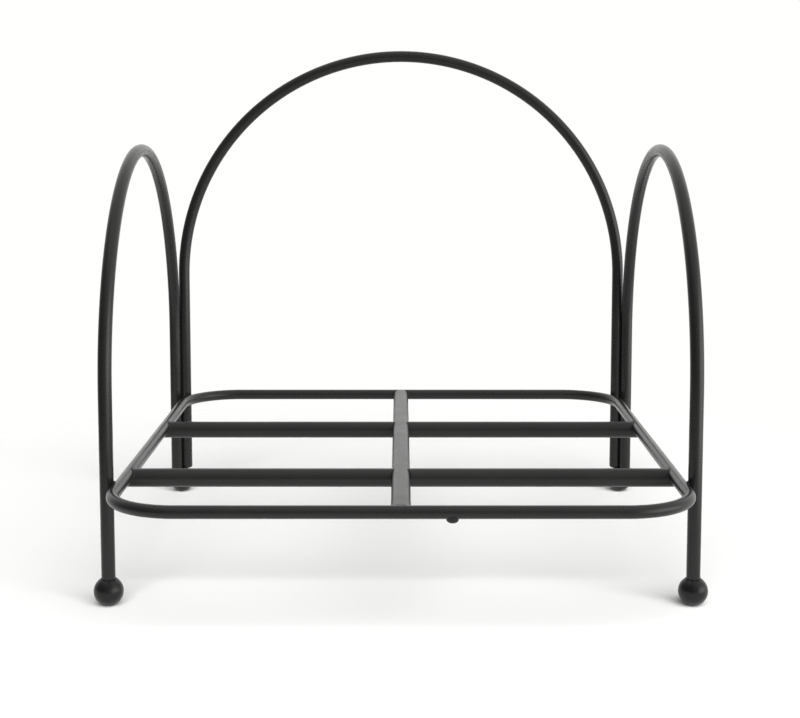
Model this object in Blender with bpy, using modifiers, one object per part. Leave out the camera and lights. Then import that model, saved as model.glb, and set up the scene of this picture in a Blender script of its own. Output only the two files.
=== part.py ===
"""Firewood log rack of bent and welded round tube, on four ball feet.

Metres, +Z up, the front towards -Y. The origin is on the floor, under the middle of the rack.
"""

import math

import bmesh
import bpy
from mathutils import Matrix, Vector

# Stock: outside diameters of the tubes and the feet.
ARCH_TUBE = 0.014
RAIL_TUBE = 0.0127
SLAT_TUBE = 0.019
SPINE_WIDTH = 0.019  # of a flat-oval tube as high as the rails
BALL = 0.030
GAP = 0.0003  # between two pieces that meet

# Base loop: one closed rounded rectangle of rail tube, measured along its centre line.
LOOP_WIDTH = 0.5587
LOOP_DEPTH = 0.612
LOOP_CORNER = 0.0688
BASE_HEIGHT = 0.1224

# Side arches: one on each side, in a plane of constant X, measured along the centre line.
SIDE_SPACING = 0.586
FRONT_LEG_Y = -0.2015
SIDE_SPAN = 0.474
SIDE_TOP = 0.450

# Back arch: its legs stand inside and just behind the side arches' rear legs, touching them.
BACK_SPAN = 0.562
BACK_TOP = 0.5647

# Spine: a flat-oval tube from the front rail to the back rail, flush with both.
SPINE_REACH = 0.003  # from its end to the centre line of the rail that it is coped on

# Slats: two round cross tubes in halves, notched to fit round the rails and the spine.
SLAT_Y = {"front": -0.152, "rear": 0.0928}
SLAT_DROP = 0.00375  # from the rails' centre line down to the slats'
SLAT_OVERRUN = 0.003  # of a slat's underside, past the centre line of the rail

# Feet: a bored ball under each front leg, and a plain ball under each rear pair of legs.
FOOT_FLAT = 0.0003  # height ground off the bottom of each ball
SOCKET_FLOOR = 0.018
REAR_LEG_END = 0.0301  # the rear legs stand on their ball
LEG_END_ROUNDING = 0.003

# Plug that closes the vent hole in the underside of the front rail.
PLUG_X = 0.048
PLUG_RADIUS = 0.006
PLUG_DROP = 0.0043  # from the underside of the rail down to the plug's tip
PLUG_SADDLE = 0.0028  # how far the plug's brim climbs the rail

# Welds: radius of a bead's cross-section, and where the bead lies.
SLAT_BEAD = 0.0015
SLAT_BEAD_SINK = 0.0003  # from the slat's surface in to the middle of the bead
SLAT_BEAD_REACH = 100  # degrees round the slat, to each side of its top
SPINE_BEAD_TOP = 0.0043  # from the spine's centre line up to the ends of the bead
SPINE_BEAD_DROP = 0.0060  # from the spine's centre line down to the bead's lowest run
CROSSING_BEAD = 0.0020
CROSSING_REACH = 70  # degrees round the slat, to each side of its underside
LEG_BEAD = 0.0017
LEG_RING = 0.0045  # radius of the ring round the point where a leg touches the loop
SEAM_BEAD = 0.0021
SEAM_BEHIND = 0.0042  # behind the line along which the two legs touch
SEAM_FROM = 0.150
SEAM_TO = 0.190
FOOT_BEAD = 0.0022
FOOT_RING = 0.0062  # radius of the ring between a rear pair of legs and their ball
FOOT_RING_HEIGHT = 0.0293

LEG_ROOM_TOP = 0.260  # above every weld bead that a leg cuts

ARCH_STEPS = 30  # straight pieces in a half circle of tube
CORNER_STEPS = 9  # straight pieces in a quarter circle of tube
TUBE_SIDES = 12
SLAT_SIDES = 24
ROOM_SIDES = 20  # unlike the slats', so that no faces of two cutters coincide
BEAD_SIDES = 8
RING_STEPS = 16
COPE_STEPS = 12
CROSSING_STEPS = 8
OVAL_STEPS = 12  # straight pieces in each half circle of the spine's section
ROUNDING_STEPS = 3
TURN_STEPS = 24
BALL_STEP = 14  # degrees between the points of a ball's outline
DOME_STEPS = 5
SHARP_ANGLE = 40  # degrees

REAR_LEG_Y = FRONT_LEG_Y + SIDE_SPAN
SIDE_X = SIDE_SPACING / 2
BACK_X = BACK_SPAN / 2
BACK_Y = REAR_LEG_Y + math.sqrt((ARCH_TUBE + GAP) ** 2 - (SIDE_X - BACK_X) ** 2)
RAIL_X = LOOP_WIDTH / 2
RAIL_Y = LOOP_DEPTH / 2
SPINE_FLAT = (SPINE_WIDTH - RAIL_TUBE) / 2  # half of the flat top
BALL_CENTRE = BALL / 2 - FOOT_FLAT
SIDES = {"left": -1, "right": 1}


def clear_scene():
    for obj in list(bpy.data.objects):
        bpy.data.objects.remove(obj)


def new_collection(name):
    collection = bpy.data.collections.new(name)
    bpy.context.scene.collection.children.link(collection)
    return collection


def powder_coat(name, shade, roughness):
    material = bpy.data.materials.new(name)
    material.use_nodes = True
    shader = material.node_tree.nodes["Principled BSDF"]
    shader.inputs["Base Color"].default_value = (shade, shade, shade * 0.96, 1)
    shader.inputs["Metallic"].default_value = 0.0
    shader.inputs["Roughness"].default_value = roughness
    return material


def add_part(name, data, material, place=(0, 0, 0)):
    part = bpy.data.objects.new(name, data)
    part.location = place
    part.parent = RACK
    data.materials.append(material)
    PARTS.objects.link(part)
    return part


def add_cutter(name, data, place=(0, 0, 0)):
    cutter = bpy.data.objects.new(name, data)
    cutter.location = place
    cutter.hide_render = True
    cutter.display_type = "WIRE"
    CUTTERS.objects.link(cutter)
    return cutter


def cut(part, *cutters):
    for cutter in cutters:
        boolean = part.modifiers.new("clear_of_" + cutter.name, "BOOLEAN")
        boolean.operation = "DIFFERENCE"
        boolean.solver = "EXACT"
        boolean.object = cutter


def tube_curve(name, points, diameter, sides, closed=False, shares=None):
    """A round tube along straight pieces between the points, as a curve with filled caps.

    The shares, if given, are its radius at each point as a share of the full radius.
    """
    curve = bpy.data.curves.new(name, "CURVE")
    curve.dimensions = "3D"
    curve.bevel_depth = diameter / 2
    curve.bevel_resolution = sides // 2 - 2
    curve.use_fill_caps = True
    spline = curve.splines.new("POLY")
    spline.points.add(len(points) - 1)
    for knot, place, share in zip(spline.points, points, shares or [1] * len(points)):
        knot.co = (*place, 1)
        knot.radius = share
    spline.use_cyclic_u = closed
    return curve


def tube_mesh(name, points, diameter, sides, closed=False):
    """The same tube as a closed mesh, for a piece that is cut or that cuts."""
    guide = bpy.data.objects.new(name, tube_curve(name, points, diameter, sides, closed))
    bpy.context.scene.collection.objects.link(guide)
    bpy.context.view_layer.update()
    graph = bpy.context.evaluated_depsgraph_get()
    mesh = bpy.data.meshes.new_from_object(guide.evaluated_get(graph))
    bpy.data.objects.remove(guide)
    welded = bmesh.new()
    welded.from_mesh(mesh)
    bmesh.ops.remove_doubles(welded, verts=welded.verts, dist=1e-6)
    bmesh.ops.recalc_face_normals(welded, faces=welded.faces)
    welded.to_mesh(mesh)
    welded.free()
    mesh.name = name
    smooth(mesh)
    return mesh


def smooth(mesh):
    mesh.shade_smooth()
    mesh.set_sharp_from_angle(angle=math.radians(SHARP_ANGLE))


def cylinder(name, start, end, diameter, sides=SLAT_SIDES):
    """A capped cylinder from one point to another."""
    axis = Vector(end) - Vector(start)
    turn = axis.to_track_quat("Z", "Y").to_matrix().to_4x4()
    middle = Matrix.Translation((Vector(start) + Vector(end)) / 2)
    solid = bmesh.new()
    bmesh.ops.create_cone(
        solid,
        cap_ends=True,
        segments=sides,
        radius1=diameter / 2,
        radius2=diameter / 2,
        depth=axis.length,
        matrix=middle @ turn,
    )
    mesh = bpy.data.meshes.new(name)
    solid.to_mesh(mesh)
    solid.free()
    smooth(mesh)
    return mesh


def oval_rod(name, end, height):
    """A flat-oval rod along Y from -end to end, rounded left and right."""
    right = arc((SPINE_FLAT, 0), height / 2, -90, 90, OVAL_STEPS)
    left = arc((-SPINE_FLAT, 0), height / 2, 90, 270, OVAL_STEPS)
    solid = bmesh.new()
    front, rear = (
        [solid.verts.new((across, along, up)) for across, up in right + left]
        for along in (-end, end)
    )
    solid.faces.new(front)
    solid.faces.new(rear)
    for index in range(len(front)):
        solid.faces.new((front[index - 1], front[index], rear[index], rear[index - 1]))
    bmesh.ops.recalc_face_normals(solid, faces=solid.faces)
    mesh = bpy.data.meshes.new(name)
    solid.to_mesh(mesh)
    solid.free()
    smooth(mesh)
    return mesh


def turned(name, profile, material, place):
    """A turned piece: (radius, height) points from the top of the axis down to its bottom."""
    outline = bmesh.new()
    points = [outline.verts.new((radius, 0, height)) for radius, height in profile]
    for upper, lower in zip(points, points[1:]):
        outline.edges.new((upper, lower))
    mesh = bpy.data.meshes.new(name)
    outline.to_mesh(mesh)
    outline.free()
    part = add_part(name, mesh, material, place)
    screw = part.modifiers.new("turn", "SCREW")
    screw.steps = TURN_STEPS
    screw.render_steps = TURN_STEPS
    screw.use_smooth_shade = True
    screw.use_merge_vertices = True
    screw.merge_threshold = 1e-6
    return part


def arc(centre, radius, first, last, steps):
    """Points (across, up) from one angle to another, in degrees, both ends included."""
    angles = [math.radians(first + (last - first) * step / steps) for step in range(steps + 1)]
    return [
        (centre[0] + radius * math.cos(angle), centre[1] + radius * math.sin(angle))
        for angle in angles
    ]


def arch_outline(start, span, top, start_foot, end_foot):
    """An inverted U with a half circle for its top, as (across, up) points from foot to foot."""
    radius = span / 2
    bend = arc((start + radius, top - radius), radius, 180, 0, ARCH_STEPS)
    return [*start_foot, *bend, *reversed(end_foot)]


def square_end(across, height):
    """The lower end of a leg that is cut square, as its one (across, up) point."""
    return [(across, height)]


def rounded_end(across):
    """The (across, up) points of a rear leg's lower end, from the bottom up."""
    shares = [step / ROUNDING_STEPS for step in range(ROUNDING_STEPS + 1)]
    return [
        (across, REAR_LEG_END + LEG_END_ROUNDING * (1 - math.cos(share * math.pi / 2)))
        for share in shares
    ]


def rounded_shares():
    """The tube's radius at each of those points, as shares of its full radius."""
    lost = 2 * LEG_END_ROUNDING / ARCH_TUBE
    angles = [math.pi / 2 * step / ROUNDING_STEPS for step in range(ROUNDING_STEPS + 1)]
    return [1 - lost * (1 - math.sin(angle)) for angle in angles]


def loop_path():
    """The centre line of the base loop."""
    x = RAIL_X - LOOP_CORNER
    y = RAIL_Y - LOOP_CORNER
    corners = (((x, y), 0), ((-x, y), 90), ((-x, -y), 180), ((x, -y), 270))
    path = []
    for centre, first in corners:
        path += arc(centre, LOOP_CORNER, first, first + 90, CORNER_STEPS)
    return [(across, along, 0) for across, along in path]


def build_side_arch(side, sign):
    front = square_end(FRONT_LEG_Y, SOCKET_FLOOR + GAP)
    rear = rounded_end(REAR_LEG_Y)
    outline = arch_outline(FRONT_LEG_Y, SIDE_SPAN, SIDE_TOP, front, rear)
    path = [(0, along, up) for along, up in outline]
    shares = [1] * (len(path) - len(rear)) + rounded_shares()[::-1]
    name = side + "_side_arch"
    curve = tube_curve(name, path, ARCH_TUBE, TUBE_SIDES, shares=shares)
    add_part(name, curve, ARCH_COAT, (sign * SIDE_X, 0, 0))


def build_back_arch():
    left = rounded_end(-BACK_X)
    right = rounded_end(BACK_X)
    outline = arch_outline(-BACK_X, BACK_SPAN, BACK_TOP, left, right)
    path = [(across, 0, up) for across, up in outline]
    ends = rounded_shares()
    shares = ends + [1] * (len(path) - 2 * len(ends)) + ends[::-1]
    curve = tube_curve("back_arch", path, ARCH_TUBE, TUBE_SIDES, shares=shares)
    add_part("back_arch", curve, ARCH_COAT, (0, BACK_Y, 0))


def build_base_loop():
    curve = tube_curve("base_loop", loop_path(), RAIL_TUBE, TUBE_SIDES, closed=True)
    add_part("base_loop", curve, RAIL_COAT, (0, 0, BASE_HEIGHT))


def build_spine(loop_room):
    mesh = oval_rod("centre_spine", RAIL_Y - SPINE_REACH, RAIL_TUBE)
    spine = add_part("centre_spine", mesh, SLAT_COAT, (0, 0, BASE_HEIGHT))
    cut(spine, loop_room)


def build_slat(row, y, side, sign, loop_room, spine_room):
    name = f"{row}_slat_{side}"
    inner = (sign * GAP / 2, 0, 0)
    outer = (sign * (RAIL_X + SLAT_OVERRUN), 0, 0)
    mesh = cylinder(name, inner, outer, SLAT_TUBE)
    slat = add_part(name, mesh, SLAT_COAT, (0, y, BASE_HEIGHT - SLAT_DROP))
    cut(slat, spine_room, loop_room)


def ball_profile(top):
    """The outside of a ball from the given point down to the flat on its underside."""
    radius = BALL / 2
    first = math.degrees(math.asin((top - BALL_CENTRE) / radius))
    last = math.degrees(math.asin(-BALL_CENTRE / radius))
    steps = round((first - last) / BALL_STEP)
    return arc((0, BALL_CENTRE), radius, first, last, steps)


def build_front_foot(side, sign):
    bore = ARCH_TUBE / 2 + GAP
    mouth = BALL_CENTRE + math.sqrt((BALL / 2) ** 2 - bore**2)
    profile = [(0, SOCKET_FLOOR), (bore, SOCKET_FLOOR), *ball_profile(mouth), (0, 0)]
    place = (sign * SIDE_X, FRONT_LEG_Y, 0)
    turned(f"front_{side}_ball_foot", profile, FOOT_COAT, place)


def rear_foot_place(sign):
    return (sign * (SIDE_X + BACK_X) / 2, (REAR_LEG_Y + BACK_Y) / 2, 0)


def build_rear_foot(side, sign):
    top = BALL_CENTRE + BALL / 2
    profile = [(0, top), *ball_profile(top)[1:], (0, 0)]
    turned(f"rear_{side}_ball_foot", profile, FOOT_COAT, rear_foot_place(sign))


def build_vent_plug(loop_room):
    """A domed plug that saddles the underside of the front rail."""
    rail_bottom = BASE_HEIGHT - RAIL_TUBE / 2
    brim = rail_bottom + PLUG_SADDLE
    tip = rail_bottom - PLUG_DROP
    angles = [math.pi / 2 * step / DOME_STEPS for step in range(DOME_STEPS)]
    dome = [
        (PLUG_RADIUS * math.cos(angle), brim - (brim - tip) * math.sin(angle))
        for angle in angles
    ]
    profile = [(0, brim), *dome, (0, tip)]
    plug = turned("vent_plug", profile, FOOT_COAT, (PLUG_X, -RAIL_Y, 0))
    cut(plug, loop_room)


def bead(name, path, radius, closed, place, cutters):
    """A weld bead along a path, trimmed to lie clear of the pieces that it joins."""
    mesh = tube_mesh(name, path, 2 * radius, BEAD_SIDES, closed)
    cut(add_part(name, mesh, WELD_COAT, place), *cutters)


def slat_end_path(sign):
    """Over the top of a slat's end, along the side of a rail that runs along Y at X = 0."""
    radius = SLAT_TUBE / 2 - SLAT_BEAD_SINK
    path = []
    for step in range(COPE_STEPS + 1):
        angle = math.radians(SLAT_BEAD_REACH * (2 * step / COPE_STEPS - 1))
        up = radius * math.cos(angle) - SLAT_DROP
        across = -sign * math.sqrt((RAIL_TUBE / 2) ** 2 - up**2)
        path.append((across, radius * math.sin(angle), up))
    return path


def spine_end_path(sign):
    """Down a flank of the spine's end, under it and up again, beside a rail at Y = 0."""
    flank = []
    for step in range(COPE_STEPS + 1):
        up = SPINE_BEAD_TOP - (SPINE_BEAD_TOP + SPINE_BEAD_DROP) * step / COPE_STEPS
        back = math.sqrt((RAIL_TUBE / 2) ** 2 - up**2)
        flank.append((SPINE_FLAT + back, -sign * back, up))
    return flank + [(-across, along, up) for across, along, up in reversed(flank)]


def build_slat_welds(loop_room, slat_rooms, spine_room):
    """A bead at each end of the slats and the spine, where they meet the loop."""
    for row, room in slat_rooms.items():
        for side, sign in SIDES.items():
            place = (sign * RAIL_X, SLAT_Y[row], BASE_HEIGHT)
            name = f"weld_{row}_slat_{side}"
            bead(name, slat_end_path(sign), SLAT_BEAD, False, place, (loop_room, room))
    for row, sign in (("front", -1), ("rear", 1)):
        place = (0, sign * RAIL_Y, BASE_HEIGHT)
        name = f"weld_spine_{row}"
        bead(name, spine_end_path(sign), SLAT_BEAD, False, place, (loop_room, spine_room))


def build_crossing_welds(slat_rooms, spine_room):
    """A bead round the underside of each slat, where its halves meet under the spine."""
    radius = SLAT_TUBE / 2
    first = -90 - CROSSING_REACH
    path = [
        (0, along, up)
        for along, up in arc((0, 0), radius, first, first + 2 * CROSSING_REACH, CROSSING_STEPS)
    ]
    for row, room in slat_rooms.items():
        place = (0, SLAT_Y[row], BASE_HEIGHT - SLAT_DROP)
        name = f"weld_{row}_crossing"
        bead(name, path, CROSSING_BEAD, False, place, (spine_room, room))


def ring_around(normal, radius):
    """A ring of points square to a level direction."""
    across = Vector((-normal.y, normal.x, 0))
    angles = [math.tau * step / RING_STEPS for step in range(RING_STEPS)]
    return [
        across * radius * math.cos(angle) + Vector((0, 0, radius * math.sin(angle)))
        for angle in angles
    ]


def build_leg_welds(side, sign, loop_room, front_room, back_room):
    """A ring of weld where each front leg, and each leg of the back arch, touches the loop."""
    corner = Vector((sign * (RAIL_X - LOOP_CORNER), RAIL_Y - LOOP_CORNER, 0))
    legs = {
        "front": (Vector((sign * SIDE_X, FRONT_LEG_Y, 0)), Vector((sign, 0, 0)), front_room),
        "back_arch": (Vector((sign * BACK_X, BACK_Y, 0)), None, back_room),
    }
    for leg, (foot, outward, room) in legs.items():
        outward = outward or (foot - corner).normalized()
        place = foot - outward * (ARCH_TUBE + GAP) / 2 + Vector((0, 0, BASE_HEIGHT))
        path = ring_around(outward, LEG_RING)
        bead(f"weld_{leg}_leg_{side}", path, LEG_BEAD, True, place, (loop_room, room))


def build_pair_welds(side, sign, side_room, back_room, ball_room):
    """Each rear pair of legs: a seam between the two tubes, and a bead onto their foot."""
    foot = Vector(rear_foot_place(sign))
    side_leg = Vector((sign * SIDE_X, REAR_LEG_Y, 0))
    seam = (foot - side_leg).normalized()
    behind = Vector((-seam.y, seam.x, 0))
    behind *= math.copysign(1, behind.y)
    groove = foot + behind * SEAM_BEHIND
    run = [groove + Vector((0, 0, height)) for height in (SEAM_FROM, SEAM_TO)]
    name = f"weld_rear_legs_{side}"
    bead(name, run, SEAM_BEAD, False, (0, 0, 0), (side_room, back_room))
    angles = [math.tau * step / RING_STEPS for step in range(RING_STEPS)]
    ring = [(FOOT_RING * math.cos(angle), FOOT_RING * math.sin(angle), 0) for angle in angles]
    name = f"weld_rear_foot_{side}"
    place = foot + Vector((0, 0, FOOT_RING_HEIGHT))
    bead(name, ring, FOOT_BEAD, True, place, (side_room, back_room, ball_room))


def leg_room(name, x, y, bottom):
    """The space that a leg takes, with its gap, as a cutter."""
    diameter = ARCH_TUBE + 2 * GAP
    mesh = cylinder(name, (0, 0, bottom), (0, 0, LEG_ROOM_TOP), diameter)
    return add_cutter(name, mesh, (x, y, 0))


def ball_room(name, place):
    solid = bmesh.new()
    centre = Matrix.Translation((0, 0, BALL_CENTRE))
    radius = BALL / 2 + GAP
    bmesh.ops.create_uvsphere(solid, u_segments=24, v_segments=12, radius=radius, matrix=centre)
    mesh = bpy.data.meshes.new(name)
    solid.to_mesh(mesh)
    solid.free()
    return add_cutter(name, mesh, place)


def build_rack():
    room = RAIL_TUBE + 2 * GAP
    mesh = tube_mesh("loop_room", loop_path(), room, TUBE_SIDES, closed=True)
    loop_room = add_cutter("loop_room", mesh, (0, 0, BASE_HEIGHT))
    end = RAIL_Y - SPINE_REACH + GAP
    spine_room = add_cutter(
        "spine_room", oval_rod("spine_room", end, room), (0, 0, BASE_HEIGHT)
    )
    slat_rooms = {}
    end = RAIL_X + SLAT_OVERRUN + GAP
    for row, y in SLAT_Y.items():
        name = f"{row}_slat_room"
        room = SLAT_TUBE + 2 * GAP
        mesh = cylinder(name, (-end, 0, 0), (end, 0, 0), room, ROOM_SIDES)
        slat_rooms[row] = add_cutter(name, mesh, (0, y, BASE_HEIGHT - SLAT_DROP))
        for side, sign in SIDES.items():
            build_slat(row, y, side, sign, loop_room, spine_room)
    balls = {
        side: ball_room(f"rear_{side}_ball_room", rear_foot_place(sign))
        for side, sign in SIDES.items()
    }
    build_base_loop()
    build_spine(loop_room)
    build_back_arch()
    build_vent_plug(loop_room)
    for side, sign in SIDES.items():
        build_side_arch(side, sign)
        build_front_foot(side, sign)
        build_rear_foot(side, sign)
        leg = sign * SIDE_X
        front_room = leg_room(f"front_{side}_leg_room", leg, FRONT_LEG_Y, SOCKET_FLOOR)
        bottom = REAR_LEG_END - GAP
        side_room = leg_room(f"rear_{side}_leg_room", leg, REAR_LEG_Y, bottom)
        back_room = leg_room(f"back_{side}_leg_room", sign * BACK_X, BACK_Y, bottom)
        build_leg_welds(side, sign, loop_room, front_room, back_room)
        build_pair_welds(side, sign, side_room, back_room, balls[side])
    build_slat_welds(loop_room, slat_rooms, spine_room)
    build_crossing_welds(slat_rooms, spine_room)


clear_scene()
PARTS = new_collection("log_rack")
CUTTERS = new_collection("cutters")
RACK = bpy.data.objects.new("rack", None)
PARTS.objects.link(RACK)
ARCH_COAT = powder_coat("arch_coat", 0.028, 0.42)
RAIL_COAT = powder_coat("rail_coat", 0.028, 0.42)
SLAT_COAT = powder_coat("slat_coat", 0.028, 0.45)
FOOT_COAT = powder_coat("foot_coat", 0.030, 0.38)
WELD_COAT = powder_coat("weld_coat", 0.026, 0.50)
build_rack()
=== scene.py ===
"""Looks of the firewood log rack: smooth bent tube, notched cross tubes, ball feet and weld beads.

Metres, +Z up, the front towards -Y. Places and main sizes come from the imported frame.
"""

import math

import bpy
from mathutils import Matrix, Vector


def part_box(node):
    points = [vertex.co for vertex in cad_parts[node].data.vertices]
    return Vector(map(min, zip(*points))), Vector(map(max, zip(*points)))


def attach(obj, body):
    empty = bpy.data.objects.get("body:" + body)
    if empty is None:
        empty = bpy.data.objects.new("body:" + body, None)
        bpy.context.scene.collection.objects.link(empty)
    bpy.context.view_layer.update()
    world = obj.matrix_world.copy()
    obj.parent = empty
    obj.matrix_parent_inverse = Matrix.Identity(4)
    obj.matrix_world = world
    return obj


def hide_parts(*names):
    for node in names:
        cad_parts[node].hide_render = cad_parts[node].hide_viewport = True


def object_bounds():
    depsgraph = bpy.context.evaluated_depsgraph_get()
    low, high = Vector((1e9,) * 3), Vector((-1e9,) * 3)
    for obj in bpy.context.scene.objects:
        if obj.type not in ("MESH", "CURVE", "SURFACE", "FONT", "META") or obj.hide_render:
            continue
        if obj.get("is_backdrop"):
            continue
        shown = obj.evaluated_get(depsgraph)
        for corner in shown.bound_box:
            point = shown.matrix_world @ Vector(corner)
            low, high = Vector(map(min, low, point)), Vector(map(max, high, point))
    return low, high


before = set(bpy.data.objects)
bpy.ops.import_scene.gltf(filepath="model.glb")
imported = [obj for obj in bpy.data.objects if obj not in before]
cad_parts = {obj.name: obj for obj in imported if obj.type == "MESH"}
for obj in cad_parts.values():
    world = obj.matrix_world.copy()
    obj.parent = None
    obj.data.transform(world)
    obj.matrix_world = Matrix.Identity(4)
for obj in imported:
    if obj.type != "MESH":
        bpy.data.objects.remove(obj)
cad_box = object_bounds()

GAP = 0.0003  # between two pieces that meet
LOOP_CORNER = 0.0688  # radius of the base loop's corners, along its centre line
LEG_END_ROUNDING = 0.003
SOCKET_LIP = 0.0007  # rounding of the edge of a front foot's bore
SOCKET_LIP_END = 60  # degrees above level, where that rounding stops
FOOT_FLAT_RADIUS = 0.003  # of the flat under each ball
BALL_FIRST = 87  # degrees above level, of the first ring of a ball with no bore
BALL_PAST_LIP = 1.5  # degrees from a bore's lip to the first ring of its ball
EDGE_ROUNDING = 0.0003  # of the notched edges of the cross tubes and the spine
EDGE_SUPPORT = 0.0012  # from such an edge to the ring that keeps the shading true

WELD_RIPPLE = 0.0015  # from one ripple of a bead to the next
WELD_RIPPLE_DEPTH = 0.07  # share of the bead's radius
WELD_SWELL = 0.04  # slow change along a bead, as a share of its radius
WELD_SWELL_SHIFT = 1e4  # radians per metre of radius, so that sizes of bead swell differently
WELD_TIP = 0.12  # radius of a bead's very end, as a share of the rest
SLAT_BEAD = 0.0011  # radius, like those of the other beads
SLAT_BEAD_SINK = 0.0003  # from the cross tube's surface in to the middle of the bead
SLAT_BEAD_REACH = 100  # degrees down each side, from the top of a cross tube
SPINE_BEAD_TOP = 0.0043  # above the rail's centre line
SPINE_BEAD_DROP = 0.006  # below it
CROSSING_BEAD = 0.0014
CROSSING_REACH = 70  # degrees up each side, from the bottom of a cross tube
LEG_BEAD = 0.001
LEG_RING = 0.0036  # radius of the ring that the bead follows
FOOT_BEAD = 0.0017
FOOT_RING = 0.0062

ARCH_STEPS = 96  # straight pieces in a half circle of tube
CORNER_STEPS = 32
ROUNDING_STEPS = 8
LIP_STEPS = 6
BALL_STEPS = 40
DOME_STEPS = 14
DOME_BASE_RINGS = 3
BEAD_STEPS = 24
RING_STEPS = 48
RIPPLE_STEPS = 6
FEWEST_STEPS = 8  # along a bead
TUBE_SIDES = 48
BEAD_SIDES = 20
TURN_SIDES = 72
SHARP_ANGLE = 50  # degrees

NOISE_RANGE = (0.3, 0.7)  # the part of a noise's values that is used
CLOUD_SCALE = 14  # slow changes of shade, in noise cells per metre, like the other scales
CLOUD_DARK = (0.88, 0.88, 0.86)  # darkest tint, as a share of the coat's shade
CLOUD_LIGHT = (1.14, 1.13, 1.08)
GLOSS_SCALE = 45
GLOSS_CHANGE = 0.03
PEEL_SCALE = 650
PEEL_DEPTH = 0.00006
WELD_PEEL_DEPTH = 0.0001
GRAIN_SCALE = 2600
GRAIN_DEPTH = 0.35  # share of the orange peel's depth
COAT_IOR = 1.38

FLOOR_RADIUS = 0.9
FLOOR_SIDES = 96
FLOOR_COLOUR = (0.88, 0.88, 0.87, 1)
FLOOR_ROUGHNESS = 0.9

FRONT_LIGHT = 0.1  # levels of the studio, where 1 is white
BACK_LIGHT = 1.15
RIGHT_LIGHT = 3.4
TOP_LIGHT = 0.95
BELOW_LIGHT = 0.25
EVEN_LIGHT = 0.12
SEEN_LIGHT = 1.0
WALL_TURN = 45  # degrees from +Y round to +X
RIGHT_TURN = 115
WALL_EDGE = (-1.1, 0.6)  # where each light starts, and where it is full
RIGHT_EDGE = (0.78, 0.96)
TOP_EDGE = (0.7, 0.97)
BELOW_EDGE = (-0.5, -0.3)
STUDIO_COLOUR = (1, 1, 0.99, 1)

SUN_PLACE = (0.4, -1.3, 1)
SUN_STRENGTH = 5.45
SUN_SPREAD = 70  # degrees

CAMERA_PLACE = (0, -1.69884, 0.48527)
CAMERA_TILT = 0.10457  # radians down from level
CAMERA_LENS = 69.006
CAMERA_SHIFT = (-0.0011, -0.0988)

SIDES = {"left": -1, "right": 1}


# Meshes


def add_piece(name, node, slot, vertices, faces):
    """A finished mesh that stands for one node of the frame."""
    mesh = bpy.data.meshes.new(name)
    mesh.from_pydata([tuple(vertex) for vertex in vertices], [], faces)
    mesh.validate()
    mesh.shade_smooth()
    mesh.set_sharp_from_angle(angle=math.radians(SHARP_ANGLE))
    mesh.materials.append(COATS[slot])
    piece = bpy.data.objects.new(name, mesh)
    bpy.context.scene.collection.objects.link(piece)
    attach(piece, "root")
    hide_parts(node)
    return piece


def middle_and_half(node):
    """The middle of a node's box and half its size along each axis."""
    low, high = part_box(node)
    return (low + high) / 2, (high - low) / 2


def bridge(first, second, sides):
    """Quads between two rings of vertices, given by the index of each ring's first vertex."""
    return [
        (first + side, first + (side + 1) % sides, second + (side + 1) % sides, second + side)
        for side in range(sides)
    ]


def tube_of_rings(rings, closed=False):
    """Vertices and faces of a skin through equal rings of points, capped at open ends."""
    sides = len(rings[0])
    vertices = [point for ring in rings for point in ring]
    starts = [index * sides for index in range(len(rings))]
    faces = []
    for first, second in zip(starts, starts[1:]):
        faces += bridge(first, second, sides)
    if closed:
        faces += bridge(starts[-1], starts[0], sides)
    else:
        faces.append(tuple(range(sides))[::-1])
        faces.append(tuple(range(starts[-1], starts[-1] + sides)))
    return vertices, faces


def oriented(vertices, faces):
    """The faces, turned round if they enclose a negative volume."""
    volume = 0
    for face in faces:
        first = vertices[face[0]]
        for second, third in zip(face[1:], face[2:]):
            volume += first.dot(vertices[second].cross(vertices[third]))
    return faces if volume > 0 else [face[::-1] for face in faces]


def arc(centre, radius, first, last, steps):
    """Points (across, up) from one angle to another, in degrees, both ends included."""
    angles = [math.radians(first + (last - first) * step / steps) for step in range(steps + 1)]
    return [
        (centre[0] + radius * math.cos(angle), centre[1] + radius * math.sin(angle))
        for angle in angles
    ]


def sweep(path, radii, sides, closed=False):
    """Rings of a round tube along a path, turning as little as they can from ring to ring."""
    count = len(path)
    rings = []
    normal = None
    for index, place in enumerate(path):
        before = path[index - 1] if closed or index else place
        after = path[(index + 1) % count] if closed or index < count - 1 else place
        tangent = (after - before).normalized()
        if normal is None:
            normal = tangent.orthogonal()
        normal = (normal - tangent * normal.dot(tangent)).normalized()
        across = tangent.cross(normal)
        ring = []
        for side in range(sides):
            angle = math.tau * side / sides
            spoke = normal * math.cos(angle) + across * math.sin(angle)
            ring.append(place + spoke * radii[index])
        rings.append(ring)
    return rings


# Tubes


def leg_end(radius, rounding):
    """(distance from the end, radius) points of a leg's lower end, from its edge inwards."""
    if not rounding:
        return [(0, radius)]
    rounded = [
        (rounding - along, radius - rounding + across)
        for across, along in arc((0, 0), rounding, 90, 0, ROUNDING_STEPS)
    ]
    return [*rounded, (rounding + EDGE_SUPPORT, radius)]


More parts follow.
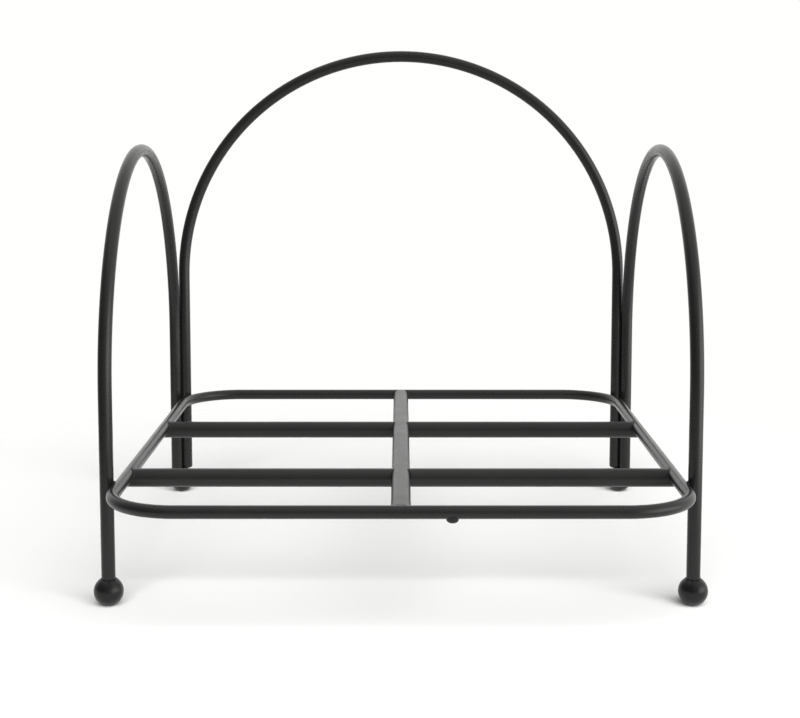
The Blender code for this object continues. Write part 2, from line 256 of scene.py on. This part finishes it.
def build_arch(node, plane, end_roundings):
    """A bent tube in a vertical plane, from one leg's end over the half circle to the other's.

    The plane is the axis (0 for X, 1 for Y) along which the arch runs. The two roundings are
    those of the first leg's lower edge and the last one's.
    """
    middle, half = middle_and_half(node)
    radius = half[1 - plane]
    bend = half[plane] - radius
    low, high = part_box(node)
    outline = arc((0, high.z - radius - bend), bend, 180, 0, ARCH_STEPS)
    starts, ends = (leg_end(radius, rounding) for rounding in end_roundings)
    outline = [
        *[(-bend, low.z + along) for along, _ in starts],
        *outline,
        *[(bend, low.z + along) for along, _ in reversed(ends)],
    ]
    radii = [size for _, size in starts] + [radius] * (ARCH_STEPS + 1)
    radii += [size for _, size in reversed(ends)]
    path = []
    for along, up in outline:
        place = Vector((middle.x, middle.y, up))
        place[plane] += along
        path.append(place)
    vertices, faces = tube_of_rings(sweep(path, radii, TUBE_SIDES))
    add_piece(node + "_tube", node, "arch_coat", vertices, faces)


def build_loop():
    middle, half = middle_and_half("base_loop")
    x = half.x - half.z - LOOP_CORNER
    y = half.y - half.z - LOOP_CORNER
    path = []
    for centre, first in (((x, y), 0), ((-x, y), 90), ((-x, -y), 180), ((x, -y), 270)):
        path += arc(centre, LOOP_CORNER, first, first + 90, CORNER_STEPS)
    path = [Vector((across, along, middle.z)) for across, along in path]
    rings = sweep(path, [half.z] * len(path), TUBE_SIDES, closed=True)
    vertices, faces = tube_of_rings(rings, closed=True)
    add_piece("base_loop_tube", "base_loop", "rail_coat", vertices, faces)


def notched_tube(section, start_of, end_of):
    """Vertices and faces of a rod along its first axis, with ends that follow two surfaces.

    The section is a ring of (across, up) points, the same left and right, that starts at
    the top. The two functions say where along the rod each point of the section ends.
    """
    sides = len(section)
    shrunk = 1 - EDGE_ROUNDING / max(up for _, up in section)
    rows = ((0, shrunk), (EDGE_ROUNDING, 1), (EDGE_SUPPORT, 1))  # distance in, share of the size
    forwards = math.copysign(1, end_of(0) - start_of(0))
    ends = [(start_of, inset * forwards, share) for inset, share in rows]
    ends += [(end_of, -inset * forwards, share) for inset, share in reversed(rows)]
    rings = []
    for surface_of, inset, share in ends:
        ring = []
        for across, up in section:
            place = (surface_of(up) + inset, across * share, up * share)
            ring.append(Vector(place))
        rings.append(ring)
    vertices = [point for ring in rings for point in ring]
    faces = []
    for first in range(len(rings) - 1):
        faces += bridge(first * sides, (first + 1) * sides, sides)
    last = (len(rings) - 1) * sides
    for index in range(sides // 2):
        left = (index, index + 1)
        right = ((-index - 1) % sides, -index % sides)
        strip = list(dict.fromkeys((*left, *right)))
        if len(strip) > 2:
            faces.append(tuple(strip)[::-1])
            faces.append(tuple(last + corner for corner in strip))
    return vertices, faces


def half_width_at(height, radius):
    """How far a round rail's surface is from its centre line, at a height from that line."""
    return math.sqrt(max(radius**2 - height**2, 0))


def build_slat(node, sign):
    middle, half = middle_and_half(node)
    loop_middle, loop_half = middle_and_half("base_loop")
    _, spine_half = middle_and_half("centre_spine")
    radius = half.z
    rail = loop_half.z + GAP
    rail_x = loop_half.x - loop_half.z
    drop = loop_middle.z - middle.z
    low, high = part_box(node)
    inner, outer = (low.x, high.x) if sign > 0 else (high.x, low.x)
    flat = spine_half.x - spine_half.z
    spine = spine_half.z + GAP

    def start_of(up):
        height = up - drop
        if height < -spine:
            return inner
        return sign * (flat + half_width_at(height, spine))

    def end_of(up):
        height = up - drop
        if height < -rail:
            return outer
        return sign * (rail_x - half_width_at(height, rail))

    section = [(across, up) for up, across in arc((0, 0), radius, 0, 360, TUBE_SIDES)[:-1]]
    vertices, faces = notched_tube(section, start_of, end_of)
    vertices = [vertex + Vector((0, middle.y, middle.z)) for vertex in vertices]
    add_piece(node + "_tube", node, "slat_coat", vertices, oriented(vertices, faces))


def build_spine():
    middle, half = middle_and_half("centre_spine")
    _, loop_half = middle_and_half("base_loop")
    flat = half.x - half.z
    rail = loop_half.z + GAP
    rail_y = loop_half.y - loop_half.z
    right = arc((flat, 0), half.z, 90, -90, TUBE_SIDES // 2)
    left = [(-across, up) for across, up in reversed(right)]
    section = [(0, half.z), *right, (0, -half.z), *left]

    def end_of(up):
        return rail_y - half_width_at(up, rail)

    vertices, faces = notched_tube(section, lambda up: -end_of(up), end_of)
    turn = Matrix.Rotation(math.radians(90), 3, "Z")
    vertices = [turn @ vertex + Vector((0, 0, middle.z)) for vertex in vertices]
    faces = oriented(vertices, faces)
    add_piece("centre_spine_tube", "centre_spine", "slat_coat", vertices, faces)


# Feet and plug


def turned(profile, place):
    """Vertices and faces of a turned solid, from (radius, height) points that end on its axis."""
    rings = []
    for radius, height in profile[1:-1]:
        ring = []
        for side in range(TURN_SIDES):
            angle = math.tau * side / TURN_SIDES
            point = (radius * math.cos(angle), radius * math.sin(angle), height)
            ring.append(place + Vector(point))
        rings.append(ring)
    vertices = [point for ring in rings for point in ring]
    faces = []
    for first in range(len(rings) - 1):
        faces += bridge(first * TURN_SIDES, (first + 1) * TURN_SIDES, TURN_SIDES)
    last = (len(rings) - 1) * TURN_SIDES
    for start, (_, height) in ((0, profile[0]), (last, profile[-1])):
        vertices.append(place + Vector((0, 0, height)))
        tip = len(vertices) - 1
        for side in range(TURN_SIDES):
            corner = start + side
            following = start + (side + 1) % TURN_SIDES
            faces.append((corner, following, tip) if start else (following, corner, tip))
    return vertices, oriented(vertices, faces)


def ball_outline(radius, centre, first, flat):
    """(radius, height) points of a ball from an angle above its middle down to its flat."""
    last = -math.degrees(math.acos(flat / radius))
    return arc((0, centre), radius, first, last, BALL_STEPS)


def build_foot(node, bored):
    low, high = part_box(node)
    place = Vector(((low.x + high.x) / 2, (low.y + high.y) / 2, 0))
    radius = (high.x - low.x) / 2
    centre = math.sqrt(radius**2 - FOOT_FLAT_RADIUS**2)
    if bored:
        arch = node.split("_")[1] + "_side_arch"
        _, arch_half = middle_and_half(arch)
        bore = arch_half.x + GAP
        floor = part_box(arch)[0].z - GAP
        wall = bore + SOCKET_LIP
        mouth = centre + math.sqrt(radius**2 - wall**2)
        first = math.degrees(math.asin((mouth - centre) / radius)) - BALL_PAST_LIP
        lip = arc((wall, mouth - SOCKET_LIP), SOCKET_LIP, 180, SOCKET_LIP_END, LIP_STEPS)
        profile = [(0, floor), (bore, floor), *lip]
    else:
        first = BALL_FIRST
        profile = [(0, centre + radius)]
    profile += ball_outline(radius, centre, first, FOOT_FLAT_RADIUS)
    profile.append((0, 0))
    vertices, faces = turned(profile, place)
    add_piece(node + "_ball", node, "foot_coat", vertices, faces)


def build_plug():
    """A domed plug whose brim follows the underside of the front rail."""
    low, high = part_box("vent_plug")
    loop_middle, loop_half = middle_and_half("base_loop")
    radius = (high.y - low.y) / 2
    place = Vector(((low.x + high.x) / 2, (low.y + high.y) / 2, loop_middle.z))
    rail = loop_half.z + GAP
    tip = low.z - loop_middle.z
    base_rings = range(1, DOME_BASE_RINGS + 1)
    rows = [(ring / (DOME_BASE_RINGS + 1), None) for ring in base_rings]
    angles = [math.pi / 2 * step / DOME_STEPS for step in range(DOME_STEPS)]
    rows += [(math.cos(angle), math.sin(angle)) for angle in angles]
    rings = []
    for share, depth in rows:
        ring = []
        for side in range(TURN_SIDES):
            angle = math.tau * side / TURN_SIDES
            across = radius * share * math.cos(angle)
            along = radius * share * math.sin(angle)
            if depth is None:
                up = -half_width_at(along, rail)
            else:
                brim = -half_width_at(radius * math.sin(angle), rail)
                up = brim + (tip - brim) * depth
            ring.append(place + Vector((across, along, up)))
        rings.append(ring)
    vertices, faces = tube_of_rings(rings)
    faces = oriented(vertices, faces)
    add_piece("vent_plug_cap", "vent_plug", "foot_coat", vertices, faces)


# Welds


def lengths_along(path):
    """The distance of each point of a path from its first."""
    lengths = [0]
    for before, after in zip(path, path[1:]):
        lengths.append(lengths[-1] + (after - before).length)
    return lengths


def resampled(path, step, closed):
    """Points at even steps along straight pieces between the path's points."""
    path = [Vector(point) for point in path]
    if closed:
        path.append(path[0])
    lengths = lengths_along(path)
    count = max(FEWEST_STEPS, round(lengths[-1] / step))
    points = []
    piece = 0
    for index in range(count if closed else count + 1):
        wanted = lengths[-1] * index / count
        while piece < len(lengths) - 2 and lengths[piece + 1] < wanted:
            piece += 1
        share = (wanted - lengths[piece]) / (lengths[piece + 1] - lengths[piece])
        points.append(path[piece].lerp(path[piece + 1], min(share, 1)))
    return points


def add_bead(node, path, radius, closed=False):
    """A bead of weld with a fine ripple, rounded off at its ends."""
    points = resampled(path, WELD_RIPPLE / RIPPLE_STEPS, closed)
    lengths = lengths_along(points)
    ripples = max(1, round(lengths[-1] / WELD_RIPPLE))
    radii = []
    for length in lengths:
        wave = math.sin(math.tau * ripples * length / lengths[-1])
        swell = math.sin(math.tau * 2 * length / lengths[-1] + radius * WELD_SWELL_SHIFT)
        size = radius * (1 + WELD_RIPPLE_DEPTH * wave + WELD_SWELL * swell)
        if not closed:
            from_end = min(length, lengths[-1] - length)
            reach = min(1, from_end / radius)
            size *= max(WELD_TIP, math.sqrt(1 - (1 - reach) ** 2))
        radii.append(size)
    vertices, faces = tube_of_rings(sweep(points, radii, BEAD_SIDES, closed), closed)
    faces = oriented(vertices, faces)
    add_piece(node + "_bead", node, "weld_coat", vertices, faces)


def ring_path(centre, first_axis, second_axis, radius, first=0, last=360):
    """Points round a centre, from one angle to another, in degrees."""
    return [
        centre + first_axis * across + second_axis * up
        for across, up in arc((0, 0), radius, first, last, RING_STEPS)
    ]


def build_slat_beads():
    loop_middle, loop_half = middle_and_half("base_loop")
    rail = loop_half.z
    rail_x = loop_half.x - rail
    for row in ("front", "rear"):
        for side, sign in SIDES.items():
            slat_middle, slat_half = middle_and_half(f"{row}_slat_{side}")
            drop = loop_middle.z - slat_middle.z
            reach = slat_half.z - SLAT_BEAD_SINK
            path = []
            for step in range(BEAD_STEPS + 1):
                angle = math.radians(SLAT_BEAD_REACH * (2 * step / BEAD_STEPS - 1))
                up = reach * math.cos(angle) - drop
                across = sign * (rail_x - half_width_at(up, rail))
                along = slat_middle.y + reach * math.sin(angle)
                path.append(Vector((across, along, loop_middle.z + up)))
            add_bead(f"weld_{row}_slat_{side}", path, SLAT_BEAD)


def build_spine_beads():
    spine_middle, spine_half = middle_and_half("centre_spine")
    _, loop_half = middle_and_half("base_loop")
    rail = loop_half.z
    rail_y = loop_half.y - rail
    flat = spine_half.x - spine_half.z
    for row, sign in (("front", -1), ("rear", 1)):
        flank = []
        for step in range(BEAD_STEPS + 1):
            up = SPINE_BEAD_TOP - (SPINE_BEAD_TOP + SPINE_BEAD_DROP) * step / BEAD_STEPS
            back = half_width_at(up, rail)
            place = (flat + half_width_at(up, spine_half.z), sign * (rail_y - back), up)
            flank.append(Vector(place) + Vector((0, 0, spine_middle.z)))
        mirrored = [Vector((-place.x, place.y, place.z)) for place in reversed(flank)]
        add_bead(f"weld_spine_{row}", flank + mirrored, SLAT_BEAD)


def build_crossing_beads():
    for row in ("front", "rear"):
        middle, half = middle_and_half(f"{row}_slat_left")
        centre = Vector((0, middle.y, middle.z))
        first = -90 - CROSSING_REACH
        last = -90 + CROSSING_REACH
        axes = (Vector((0, 1, 0)), Vector((0, 0, 1)))
        path = ring_path(centre, *axes, half.z, first, last)
        add_bead(f"weld_{row}_crossing", path, CROSSING_BEAD)


def build_leg_beads():
    """Rings round the points where the front legs and the back arch's legs touch the loop."""
    for kind in ("front", "back_arch"):
        for side in SIDES:
            node = f"weld_{kind}_leg_{side}"
            middle, _ = middle_and_half(node)
            outward = leg_place(kind, side) - Vector((middle.x, middle.y, 0))
            outward.normalize()
            across = Vector((-outward.y, outward.x, 0))
            path = ring_path(middle, across, Vector((0, 0, 1)), LEG_RING)
            add_bead(node, path[:-1], LEG_BEAD, closed=True)


def leg_place(kind, side):
    """Where a leg stands on the floor."""
    arch = "back_arch" if kind == "back_arch" else side + "_side_arch"
    low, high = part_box(arch)
    radius = min(high.x - low.x, high.y - low.y) / 2
    if kind == "back_arch":
        return Vector((SIDES[side] * (high.x - radius), (low.y + high.y) / 2, 0))
    along = low.y + radius if kind == "front" else high.y - radius
    return Vector(((low.x + high.x) / 2, along, 0))


def build_pair_beads():
    """Each rear pair of legs: a seam between the two, and a ring onto their ball."""
    for side in SIDES:
        seam = f"weld_rear_legs_{side}"
        low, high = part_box(seam)
        middle, _ = middle_and_half(seam)
        path = [Vector((middle.x, middle.y, up)) for up in (low.z, high.z)]
        add_bead(seam, path, (high.y - low.y) / 2)
        ring = f"weld_rear_foot_{side}"
        middle, _ = middle_and_half(ring)
        path = ring_path(middle, Vector((1, 0, 0)), Vector((0, 1, 0)), FOOT_RING)
        add_bead(ring, path[:-1], FOOT_BEAD, closed=True)


# Powder coat


def powder_coat(name, shade, roughness, peel):
    """Satin powder coat: orange peel, a fine grain, and slow changes of shade and gloss."""
    material = bpy.data.materials.new(name)
    material.use_nodes = True
    nodes = material.node_tree.nodes
    links = material.node_tree.links
    shader = nodes["Principled BSDF"]
    place = nodes.new("ShaderNodeTexCoord").outputs["Object"]

    def noise(scale, detail):
        node = nodes.new("ShaderNodeTexNoise")
        node.inputs["Scale"].default_value = scale
        node.inputs["Detail"].default_value = detail
        links.new(place, node.inputs["Vector"])
        return node.outputs["Fac"]

    def ranged(value, low, high):
        node = nodes.new("ShaderNodeMapRange")
        node.inputs["From Min"].default_value = NOISE_RANGE[0]
        node.inputs["From Max"].default_value = NOISE_RANGE[1]
        node.inputs["To Min"].default_value = low
        node.inputs["To Max"].default_value = high
        links.new(value, node.inputs["Value"])
        return node.outputs["Result"]

    tint = nodes.new("ShaderNodeMix")
    tint.data_type = "RGBA"
    tint.inputs["A"].default_value = (*[shade * share for share in CLOUD_DARK], 1)
    tint.inputs["B"].default_value = (*[shade * share for share in CLOUD_LIGHT], 1)
    links.new(ranged(noise(CLOUD_SCALE, 3), 0, 1), tint.inputs["Factor"])
    links.new(tint.outputs["Result"], shader.inputs["Base Color"])
    gloss = noise(GLOSS_SCALE, 4)
    gloss = ranged(gloss, roughness - GLOSS_CHANGE, roughness + GLOSS_CHANGE)
    links.new(gloss, shader.inputs["Roughness"])

    previous = None
    for scale, depth in ((PEEL_SCALE, peel), (GRAIN_SCALE, peel * GRAIN_DEPTH)):
        bump = nodes.new("ShaderNodeBump")
        bump.inputs["Strength"].default_value = 1.0
        bump.inputs["Distance"].default_value = depth
        links.new(noise(scale, 1), bump.inputs["Height"])
        if previous:
            links.new(previous, bump.inputs["Normal"])
        previous = bump.outputs["Normal"]
    links.new(previous, shader.inputs["Normal"])
    shader.inputs["IOR"].default_value = COAT_IOR
    return material


COATS = {
    "arch_coat": powder_coat("arch_powder_coat", 0.008, 0.27, PEEL_DEPTH),
    "rail_coat": powder_coat("rail_powder_coat", 0.008, 0.29, PEEL_DEPTH),
    "slat_coat": powder_coat("slat_powder_coat", 0.008, 0.31, PEEL_DEPTH),
    "foot_coat": powder_coat("foot_powder_coat", 0.004, 0.28, PEEL_DEPTH),
    "weld_coat": powder_coat("weld_powder_coat", 0.008, 0.40, WELD_PEEL_DEPTH),
}


# Floor, light and camera


def build_floor():
    """A round pale floor, large enough for the rack's shadow."""
    mesh = bpy.data.meshes.new("floor")
    rim = arc((0, 0), FLOOR_RADIUS, 0, 360, FLOOR_SIDES)[:-1]
    vertices = [(across, along, 0) for across, along in rim]
    mesh.from_pydata(vertices, [], [tuple(range(FLOOR_SIDES))])
    material = bpy.data.materials.new("pale_floor")
    material.use_nodes = True
    shader = material.node_tree.nodes["Principled BSDF"]
    shader.inputs["Base Color"].default_value = FLOOR_COLOUR
    shader.inputs["Roughness"].default_value = FLOOR_ROUGHNESS
    shader.inputs["Specular IOR Level"].default_value = 0.0
    mesh.materials.append(material)
    floor = bpy.data.objects.new("floor", mesh)
    bpy.context.scene.collection.objects.link(floor)
    floor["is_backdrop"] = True


def build_world():
    """A studio that is bright to the right of the rack and behind it, and darker in front.

    Only reflections show that. The floor and the coats' own colour are lit evenly by it, and
    the camera sees it white.
    """
    world = bpy.data.worlds.new("studio")
    bpy.context.scene.world = world
    world.use_nodes = True
    nodes = world.node_tree.nodes
    links = world.node_tree.links
    background = nodes["Background"]
    direction = nodes.new("ShaderNodeTexCoord").outputs["Generated"]
    upwards = nodes.new("ShaderNodeSeparateXYZ")
    links.new(direction, upwards.inputs["Vector"])

    def facing(turn):
        """How nearly a direction is the level one at so many degrees from +Y round to +X."""
        node = nodes.new("ShaderNodeVectorMath")
        node.operation = "DOT_PRODUCT"
        turn = math.radians(turn)
        node.inputs[1].default_value = (math.sin(turn), math.cos(turn), 0)
        links.new(direction, node.inputs[0])
        return node.outputs["Value"]

    def ranged(value, edge, low, high):
        node = nodes.new("ShaderNodeMapRange")
        node.interpolation_type = "SMOOTHSTEP"
        node.inputs["From Min"].default_value = edge[0]
        node.inputs["From Max"].default_value = edge[1]
        node.inputs["To Min"].default_value = low
        node.inputs["To Max"].default_value = high
        links.new(value, node.inputs["Value"])
        return node.outputs["Result"]

    def blend(value, other, share):
        node = nodes.new("ShaderNodeMix")
        node.inputs["B"].default_value = other
        links.new(share, node.inputs["Factor"])
        links.new(value, node.inputs["A"])
        return node.outputs["Result"]

    level = ranged(facing(WALL_TURN), WALL_EDGE, FRONT_LIGHT, BACK_LIGHT)
    level = blend(level, RIGHT_LIGHT, ranged(facing(RIGHT_TURN), RIGHT_EDGE, 0, 1))
    level = blend(level, TOP_LIGHT, ranged(upwards.outputs["Z"], TOP_EDGE, 0, 1))
    level = blend(level, BELOW_LIGHT, ranged(upwards.outputs["Z"], BELOW_EDGE, 1, 0))
    rays = nodes.new("ShaderNodeLightPath").outputs
    level = blend(level, EVEN_LIGHT, rays["Is Diffuse Ray"])
    level = blend(level, SEEN_LIGHT, rays["Is Camera Ray"])
    links.new(level, background.inputs["Strength"])
    background.inputs["Color"].default_value = STUDIO_COLOUR


def build_sun():
    """Even light from the front and the right, spread wide so that its shadows are soft."""
    light = bpy.data.lights.new("front_light", "SUN")
    light.energy = SUN_STRENGTH
    light.angle = math.radians(SUN_SPREAD)
    lamp = bpy.data.objects.new("front_light", light)
    lamp.location = SUN_PLACE
    lamp.rotation_euler = Vector(SUN_PLACE).to_track_quat("Z", "Y").to_euler()
    lamp.visible_glossy = False
    bpy.context.scene.collection.objects.link(lamp)


def build_camera():
    camera = bpy.data.cameras.new("camera")
    camera.lens = CAMERA_LENS
    camera.shift_x = CAMERA_SHIFT[0]
    camera.shift_y = CAMERA_SHIFT[1]
    eye = bpy.data.objects.new("camera", camera)
    eye.location = CAMERA_PLACE
    eye.rotation_euler = (math.pi / 2 - CAMERA_TILT, 0, 0)
    bpy.context.scene.collection.objects.link(eye)
    bpy.context.scene.camera = eye


for side_name, side_sign in SIDES.items():
    build_arch(side_name + "_side_arch", 1, (0, LEG_END_ROUNDING))
    for row_name in ("front", "rear"):
        build_slat(f"{row_name}_slat_{side_name}", side_sign)
        build_foot(f"{row_name}_{side_name}_ball_foot", row_name == "front")
build_arch("back_arch", 0, (LEG_END_ROUNDING, LEG_END_ROUNDING))
build_loop()
build_spine()
build_plug()
build_slat_beads()
build_spine_beads()
build_crossing_beads()
build_leg_beads()
build_pair_beads()

build_floor()
build_world()
build_sun()
build_camera()
bpy.context.scene.view_settings.view_transform = "Standard"

sizes = {"cad": cad_box, "visual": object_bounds()}
sizes = {name: [list(corner) for corner in box] for name, box in sizes.items()}
